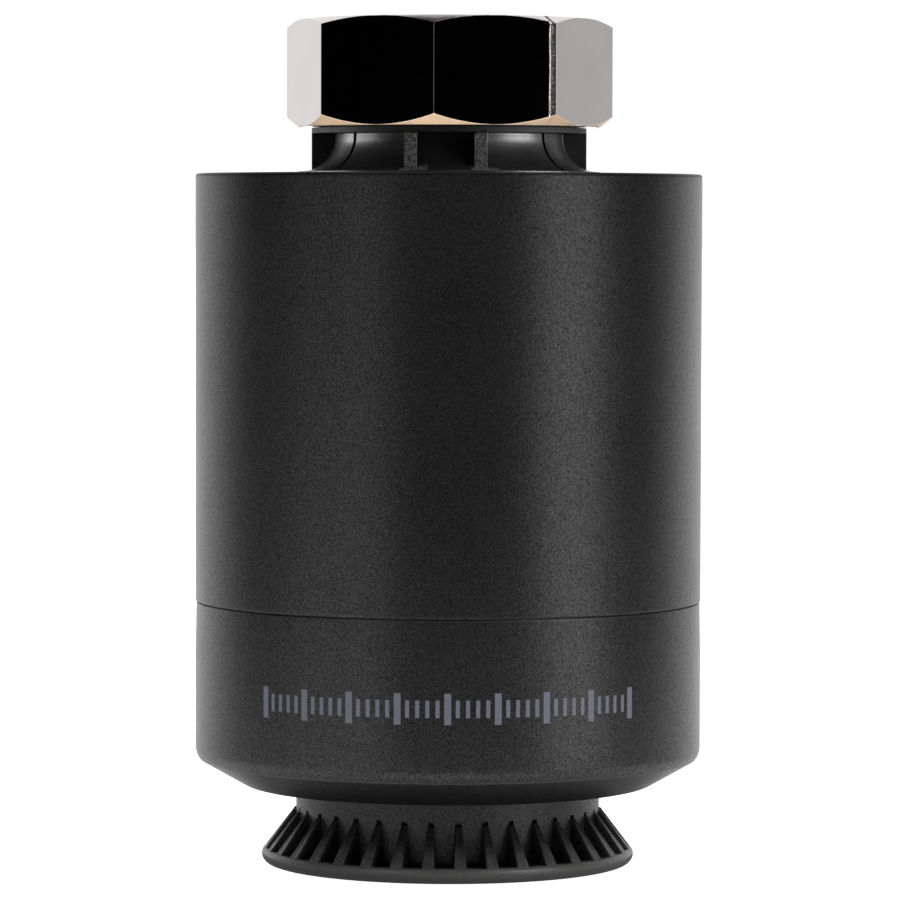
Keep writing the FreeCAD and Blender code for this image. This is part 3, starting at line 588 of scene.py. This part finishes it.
def stitch(rings):
    """Vertices and faces of a closed skin; each ring joins the next, the last the first."""
    count, size = len(rings), len(rings[0])
    faces = []
    for i in range(count):
        here, after = i * size, (i + 1) % count * size
        for k in range(size):
            k_next = (k + 1) % size
            faces.append((here + k, here + k_next, after + k_next, after + k))
    return [v for ring in rings for v in ring], faces


def lathe(outline, segments=256):
    """A closed outline of (r, z) points turned about Z."""
    angles = [2 * math.pi * k / segments for k in range(segments)]
    verts, faces = stitch([circle(r, angles, z) for r, z in outline])
    return verts, [(a, d, c, b) for a, b, c, d in faces]


def rounded(points, steps):
    """Closed (r, z) outline; a third number on a point rounds that corner."""
    out = []
    for i, point in enumerate(points):
        tip = Vector(point[:2])
        radius = point[2] if len(point) > 2 else 0.0
        if not radius:
            out.append((tip.x, tip.y))
            continue
        back = (Vector(points[i - 1][:2]) - tip).normalized()
        ahead = (Vector(points[(i + 1) % len(points)][:2]) - tip).normalized()
        half = math.acos(max(-1.0, min(1.0, back.dot(ahead)))) / 2
        reach = radius / math.tan(half)
        centre = tip + (back + ahead).normalized() * (radius / math.sin(half))
        start, end = tip + back * reach - centre, tip + ahead * reach - centre
        sweep = math.atan2(start.x * end.y - start.y * end.x, start.dot(end))
        for j in range(steps + 1):
            t = sweep * j / steps
            spoke = Vector((start.x * math.cos(t) - start.y * math.sin(t),
                            start.x * math.sin(t) + start.y * math.cos(t)))
            out.append((centre.x + spoke.x, centre.y + spoke.y))
    return out


# ================================================================ union nut
def nut_outline():
    """(x, y) points round the octagon with its small rounded corners."""
    corner_r = 0.09
    half_side = 180.0 / NUT_SIDES
    # the rounding is centred on the corner's line and touches both flats
    cos_half = math.cos(math.radians(half_side))
    centre_r = NUT_FLAT / cos_half - corner_r / cos_half
    first = math.radians(270 - NUT_TURN)
    outline = []

    def on_corner(middle, angle):
        return (centre_r * math.cos(middle) + corner_r * math.cos(angle),
                centre_r * math.sin(middle) + corner_r * math.sin(angle))

    for i in range(NUT_SIDES):
        middle = first + math.radians(2 * half_side) * i
        following = middle + math.radians(2 * half_side)
        for j in range(5):
            angle = middle + math.radians(-half_side + 2 * half_side * j / 4)
            outline.append(on_corner(middle, angle))
        start = outline[-1]
        end = on_corner(following, following - math.radians(half_side))
        for t in [0.004] + [j / 12 for j in range(1, 12)] + [0.996]:
            outline.append((start[0] + (end[0] - start[0]) * t,
                            start[1] + (end[1] - start[1]) * t))
    return outline


def thread_radius(angle, z, top):
    """Right-hand M30 x 1.5 inner thread, opening at the top and running out at the bottom."""
    pitch, crest, root = 1.5, 14.19, 14.95
    turn = ((z - pitch * angle / (2 * math.pi)) / pitch) % 1.0
    from_root = abs(turn - 0.5) * 2            # 1 at the crest's middle, 0 at the root's
    rise = min(1.0, max(0.0, (from_root - 0.12) / 0.70))
    lead = crest + max(0.0, z - (top - 0.75)) * 1.15
    run_out = max(0.0, 88.9 - z) * 1.4
    return max(root + (crest - root) * rise, lead, min(root, crest + run_out))


def build_nut():
    z0, z1 = heights("union_nut")
    soft = 0.04                  # from a chamfer's edge to the next ring
    outline = nut_outline()
    angles = [math.atan2(y, x) for x, y in outline]
    radii = [math.hypot(x, y) for x, y in outline]

    def chamfer(slope):
        """The chamfer's height at each point of the outline."""
        return [max(0.05, (r - NUT_FLAT) * slope) for r in radii]

    def side(levels):
        return [polar(r, a, z) for r, a, z in zip(radii, angles, levels)]

    low, high = chamfer(1.31 / 1.6), chamfer(0.97 / 1.6)
    rings = [circle(r, angles, z) for r, z in (
        (13.05, z0 + 0.25), (13.3, z0), (NUT_FLAT - 0.10, z0), (NUT_FLAT, z0 + 0.03))]
    rings += [side([z0 + h for h in low]), side([z0 + h + soft for h in low])]
    rings += [circle_z for t in (0.33, 0.66)
              for circle_z in [side([z0 + 1.5 + (z1 - z0 - 3.0) * t] * len(radii))]]
    rings += [side([z1 - h - soft for h in high]), side([z1 - h for h in high])]
    rings += [circle(r, angles, z) for r, z in (
        (NUT_FLAT, z1 - 0.03), (NUT_FLAT - 0.10, z1), (14.95, z1))]
    for i in range(int((z1 - 88.0) / 0.1)):
        z = z1 - 0.12 - 0.1 * i
        rings.append([polar(thread_radius(a, z, z1), a, z) for a in angles])
    # the groove below the thread and the inner shoulder
    rings += [circle(r, angles, z) for r, z in (
        (15.2, 87.7), (15.2, 85.75), (15.05, 85.6), (13.25, 85.6), (13.05, 85.4))]
    return make("union_nut_body", stitch(rings), "nut_nickel", "union_nut", "union_nut", sharp=20.0)


# ===================================================================== dial
RIBS = 36
RIB_PHASE = math.radians(4.0)
RIB_WIDTH_TOP, RIB_WIDTH_LOW = 0.68, 1.40
RIB_LOW_R = 20.66
NECK_R, RIM_R, BORE_R = 17.13, 21.0, 13.92
SINK_TOP_Z, FLOOR_Z = 6.42, 1.72
SINK = 0.55                      # depth of the small recess over each rib


def rib_face(z):
    """Outer radius of a rib at height z."""
    share = (RIB_TOP_Z - z) / (RIB_TOP_Z - FLOOR_Z)
    return RIB_TOP_R + (RIB_LOW_R - RIB_TOP_R) * share


def rib_ring(z, out):
    """One level round the dial: ribs reaching radius out, with the neck between them."""
    t = (6.05 - min(z, 6.05)) / (6.05 - FLOOR_Z)
    half = (RIB_WIDTH_TOP + (RIB_WIDTH_LOW - RIB_WIDTH_TOP) * t) / 2
    edge = min(0.13, max(0.02, (out - NECK_R) * 0.45))
    flute = 0.07 * min(1.0, max(0.0, out - NECK_R) / 0.6)
    middle = NECK_R + (out - NECK_R) * 0.5
    # across one rib: (offset sideways, radius)
    profile = [
        (-half, NECK_R), (-half, middle), (-half, out - edge),
        (-half + edge * 0.3, out - edge * 0.3), (-half + edge, out),
        (-half * 0.45, out - flute * 0.7), (0.0, out - flute), (half * 0.45, out - flute * 0.7),
        (half - edge, out), (half - edge * 0.3, out - edge * 0.3), (half, out - edge),
        (half, middle), (half, NECK_R),
    ]
    root_angle = math.asin(half / NECK_R)
    points = []
    for i in range(RIBS):
        centre = RIB_PHASE + 2 * math.pi * i / RIBS
        for s, r in profile:
            if out == NECK_R or abs(r - NECK_R) < 1e-9:
                points.append(polar(NECK_R, centre + math.asin(s / NECK_R), z))
            else:
                x = math.sqrt(max(0.0, r * r - s * s))
                points.append((x * math.cos(centre) - s * math.sin(centre),
                               x * math.sin(centre) + s * math.cos(centre), z))
        for j in range(1, 5):
            gap = (2 * math.pi / RIBS - 2 * root_angle) * j / 5
            points.append(polar(NECK_R, centre + root_angle + gap, z))
    return points


def build_dial():
    """Turned ring with ribs standing off its neck, each with a shallow flute down its face."""
    levels = [(SINK_TOP_Z, NECK_R), (SINK_TOP_Z, NECK_R - SINK), (6.03, NECK_R - SINK),
              (RIB_TOP_Z, rib_face(RIB_TOP_Z) - 0.05)]
    levels += [(z, rib_face(z)) for z in (5.97, 5.5, 4.6, 3.7, 2.8, 2.2, FLOOR_Z)]
    ribs = [rib_ring(z, out) for z, out in levels]
    top_angles, low_angles = ([math.atan2(p[1], p[0]) for p in ring]
                              for ring in (ribs[0], ribs[-1]))

    # (r, z) of the part inside the shell, then down the neck
    above = [(BORE_R, 14.8), (15.9, 14.8), (16.0, 14.7), (16.0, 14.45), (15.8, 14.4),
             (15.8, 10.95), (17.05, 10.9), (NECK_R, 10.8), (NECK_R, 9.2), (NECK_R, 7.6),
             (NECK_R, 6.6)]
    # floor of the pockets, small step, rim, underside and bore
    pocket_z, step_z = FLOOR_Z + 0.02, FLOOR_Z - 0.04
    under = rounded([(20.1, pocket_z), (RIM_R, pocket_z, 0.65), (RIM_R, 0.0, 1.05),
                     (15.2, 0.0, 0.2), (BORE_R, 0.6)], steps=8)
    step = [(20.22, pocket_z), (20.28, step_z), (20.36, step_z)]
    bore = [(BORE_R, z) for z in (2.0, 5.0, 9.0, 12.0)]
    rings = [circle(r, top_angles, z) for r, z in above] + ribs
    rings += [circle(r, low_angles, z) for r, z in under[:1] + step + under[1:] + bore]
    make("dial_body", stitch(rings), "dial_black", "dial", "dial", sharp=28.0)


# ==================================================================== shells
SHELL_R, WALL = 28.5, 1.6
SHELL_INNER_R = SHELL_R - WALL


def build_sleeve():
    z0, z1 = heights("outer_sleeve")
    mouth_r = 19.15
    outline = rounded([
        (SHELL_INNER_R, z0, 0.15), (SHELL_R, z0, 0.07), (SHELL_R, z0 + 0.4),
        (SHELL_R, z1 - 0.7), (SHELL_R, z1, 0.32), (mouth_r, z1, 0.12),
        (mouth_r, z1 - WALL), (SHELL_INNER_R, z1 - WALL, 0.8),
    ], steps=5)
    make("outer_sleeve_body", lathe(outline), "body_black", "outer_sleeve", "outer_sleeve",
         sharp=30.0)


def build_front_shell():
    z1 = heights("front_shell")[1]
    mouth_r, bottom_z = 17.5, 8.9
    roll_r, roll_z = 2.2, 13.22      # the rolled lower edge: its radius and centre height
    taper, taper_z = 0.1, 24.0       # narrower by this at the top, from this height up
    roll = [(SHELL_R - roll_r + roll_r * math.cos(math.radians(a)),
             roll_z - roll_r * math.sin(math.radians(a)))
            for a in (38, 33, 28, 23, 18, 13, 8, 4, 0)]
    outline = rounded([
        (mouth_r, bottom_z, 0.2), (22.8, bottom_z, 2.0), (*roll[0], 0.06), *roll[1:],
        (SHELL_R, 13.9), (SHELL_R, taper_z),
        (SHELL_R - taper * (z1 - 24.5) / (z1 - taper_z), z1 - 0.5),
        (SHELL_R - taper, z1, 0.13), (SHELL_INNER_R, z1, 0.1), (SHELL_INNER_R, 13.05, 0.5),
        (22.5, bottom_z + WALL, 0.4), (mouth_r, bottom_z + WALL, 0.1),
    ], steps=7)
    make("front_shell_body", lathe(outline), "body_black", "housing", "front_shell", sharp=30.0)


def dress_cad_pieces():
    """Give every visible CAD piece its material."""
    for name, ob in NODES.items():
        if ob.hide_render:
            continue
        me = ob.data
        me.materials.clear()
        me.materials.append(MATERIALS[SLOT[name]])
        me.polygons.foreach_set("material_index", [0] * len(me.polygons))


# ==================================================================== stage
FLOOR_XS = [-12.0, -2.0, -0.5, 0.5, 2.0, 12.0]
FLOOR_YS = [-0.90, -0.4, -0.1, 0.0, 0.5, 1.5, 4.0, 12.0]


def stage_material():
    """Pale floor. Its light falls away in front of the object, outside the picture."""
    value, glow = 0.50, 0.78
    camera_glow = 0.22                   # extra, seen by the camera only
    dim = 0.62                           # how much darker the floor ahead is
    right_glow, left_glow = 1.60, 1.00   # under the upright strips of the studio
    m = new_material("floor_white")
    x, y, _ = m.separate(m.value("ShaderNodeTexCoord", out="Object"))
    distance = m.math("SQRT", x * x + y * y)
    near = 1.0 / (1.0 + (distance / 0.25) ** 1.6)
    off_front = abs(m.bearing(x, y)) * DEG
    back = m.ramp(off_front, over=(96.0, 138.0), smooth=True)
    light = near + back * (1.0 - near)

    # outside the picture: dim ahead, bright under the strips
    side = m.bearing(x, y) * DEG
    past = m.ramp(distance, over=(0.075, 0.11), smooth=True)
    ahead = m.ramp(off_front, over=(122.0, 62.0), smooth=True) * past
    light = light * (1.0 - ahead * dim)
    strip_right = m.window(side, rise=(36.0, 47.0), fall=(64.0, 76.0), smooth=True)
    strip_left = m.window(side, rise=(-98.0, -48.0), fall=(-30.0, -20.0), smooth=True)
    strips = (strip_right * right_glow + strip_left * left_glow) * past

    # painted shade: to all but the camera the floor is darker close to the object, standing in for
    # the shadow under it
    fine = m.ramp(m.noise(scale=0.05, detail=3.0), to=(0.99, 1.0))
    seen = m.value("ShaderNodeLightPath", out="Is Camera Ray")
    contact_shade = m.ramp(distance, over=(0.021, 0.045), to=(0.24, 0.93), smooth=True)
    share = contact_shade * (1.0 - seen) + seen
    grey = light * fine * value * share
    m.set("Base Color", m.vector(grey, grey, grey))
    m.set("Roughness", 0.8)
    m.set("Specular IOR Level", 0.05)
    m.set("Emission Color", (1.0, 1.0, 1.0, 1.0))
    m.set("Emission Strength", light * (share * glow + seen * camera_glow) + strips)
    return m.block


def build_stage():
    """A wide flat floor; its front edge is out of the picture."""
    verts = [(x, y, 0.0) for y in FLOOR_YS for x in FLOOR_XS]
    n = len(FLOOR_XS)
    faces = [(j * n + i, j * n + i + 1, (j + 1) * n + i + 1, (j + 1) * n + i)
             for j in range(len(FLOOR_YS) - 1) for i in range(n - 1)]
    me = bpy.data.meshes.new("floor")
    me.from_pydata(verts, [], faces)
    ob = bpy.data.objects.new("floor", me)
    bpy.context.scene.collection.objects.link(ob)
    me.materials.append(stage_material())


def build_world():
    """Studio light by direction: white behind, dark in front, upright strips, light above."""
    w = Shader(bpy.data.worlds.new("studio"), "ShaderNodeOutputWorld", "ShaderNodeBackground")
    bpy.context.scene.world = w.block
    x, y, z = w.separate(w.value("ShaderNodeTexCoord", out="Generated"))
    azimuth = w.bearing(x, y) * DEG
    elevation = w.math("ARCSINE", z) * DEG

    def band(value, start, end, soft):
        return w.window(value, rise=(start - soft, start + soft),
                        fall=(end - soft, end + soft), smooth=True)

    def upright(top_gain):
        """A strip's brightness by height, stronger in its upper part."""
        return (band(elevation, start=-35.0, end=66.0, soft=7.0)
                + band(elevation, start=42.0, end=66.0, soft=7.0) * top_gain)

    left = w.ramp(azimuth, over=(-95.0, -141.0), smooth=True)
    right = w.ramp(azimuth, over=(96.0, 150.0), smooth=True)
    far = w.ramp(abs(azimuth), over=(150.0, 172.0), to=(0.92, 1.0), smooth=True)
    up = w.ramp(elevation, over=(36.0, 57.0), to=(1.0, 0.05), smooth=True)
    behind = (left + right) * (far * 1.03) * up
    edges = w.window(azimuth, rise=(36.0, 47.0), fall=(65.0, 77.0), smooth=True)
    strip_right = edges * upright(top_gain=0.8) * 1.9
    pair = (band(azimuth, start=-47.0, end=-29.0, soft=4.0)
            + band(azimuth, start=-69.0, end=-62.0, soft=2.5) * 0.8)
    strip_left = pair * upright(top_gain=1.6) * 0.44
    wide = band(abs(azimuth), start=24.0, end=74.0, soft=8.0)
    soft_boxes = band(elevation, start=34.0, end=56.0, soft=7.0) * wide * 1.1
    fill = (band(azimuth, start=-20.0, end=20.0, soft=8.0)
            * band(elevation, start=-35.0, end=30.0, soft=8.0) * 0.04)
    overhead = w.ramp(elevation, over=(76.0, 80.0), smooth=True) * 14.0
    total = behind + strip_right + (strip_left + overhead) + (soft_boxes + fill)
    w.set("Color", total + 0.0004)
    w.set("Strength", 1.0)


# ========================================================= lights and camera
LIGHT_DISTANCE = 0.30
WARM, WHITE = (1.0, 0.91, 0.80), (1, 1, 1)


def area(name, receiver, azimuth, z, size, power, colour, aim):
    """An area light reaching one piece; azimuth in degrees from the front, right positive."""
    angle = math.radians(azimuth)
    place = Vector((LIGHT_DISTANCE * math.sin(angle), -LIGHT_DISTANCE * math.cos(angle), z))
    light = bpy.data.lights.new(name, "AREA")
    light.shape = "RECTANGLE"
    light.size, light.size_y = size
    light.energy = power
    light.color = colour
    ob = bpy.data.objects.new(name, light)
    ob.location = place
    ob.rotation_euler = (Vector(aim) - place).to_track_quat("-Z", "Y").to_euler()
    bpy.context.scene.collection.objects.link(ob)
    ob.visible_camera = False
    reach = bpy.data.collections.new(name + "_reach")
    reach.objects.link(receiver)
    ob.light_linking.receiver_collection = reach


def build_lights(nut, collar):
    area("bounce_low", nut, azimuth=-32, z=0.055, size=(0.10, 0.05), power=1.15,
         colour=WARM, aim=(0, -0.017, 0.0835))
    area("bounce_right", nut, azimuth=52, z=0.055, size=(0.08, 0.05), power=0.55,
         colour=WARM, aim=(0.012, -0.010, 0.0835))
    area("collar_left", collar, azimuth=-102, z=0.084, size=(0.24, 0.12), power=0.95,
         colour=WHITE, aim=(0, 0, 0.080))
    area("collar_right", collar, azimuth=74, z=0.084, size=(0.18, 0.12), power=1.5,
         colour=WHITE, aim=(0, 0, 0.080))


def build_camera():
    distance, eye_z, aim_z = 0.564, 0.0725, 0.0466
    shift_x = 0.00018
    roll = math.radians(0.14)
    view_width = 0.1016          # width of the picture at the aim point
    cam = bpy.data.cameras.new("camera")
    ob = bpy.data.objects.new("camera", cam)
    bpy.context.scene.collection.objects.link(ob)
    cam.sensor_width = 36.0
    ob.location = (shift_x, -distance, eye_z)
    sight = Vector((shift_x, 0.0, aim_z)) - ob.location
    turn = sight.to_track_quat("-Z", "Y") @ Quaternion((0, 0, 1), roll)
    ob.rotation_euler = turn.to_euler()
    cam.lens = 36.0 * sight.length / view_width
    cam.clip_start = 0.01
    bpy.context.scene.camera = ob
    bpy.context.scene.view_settings.view_transform = "Standard"


nut_body = build_nut()
build_dial()
build_sleeve()
build_front_shell()
dress_cad_pieces()
build_stage()
build_world()
build_lights(nut_body, NODES["mounting_collar"])
build_camera()
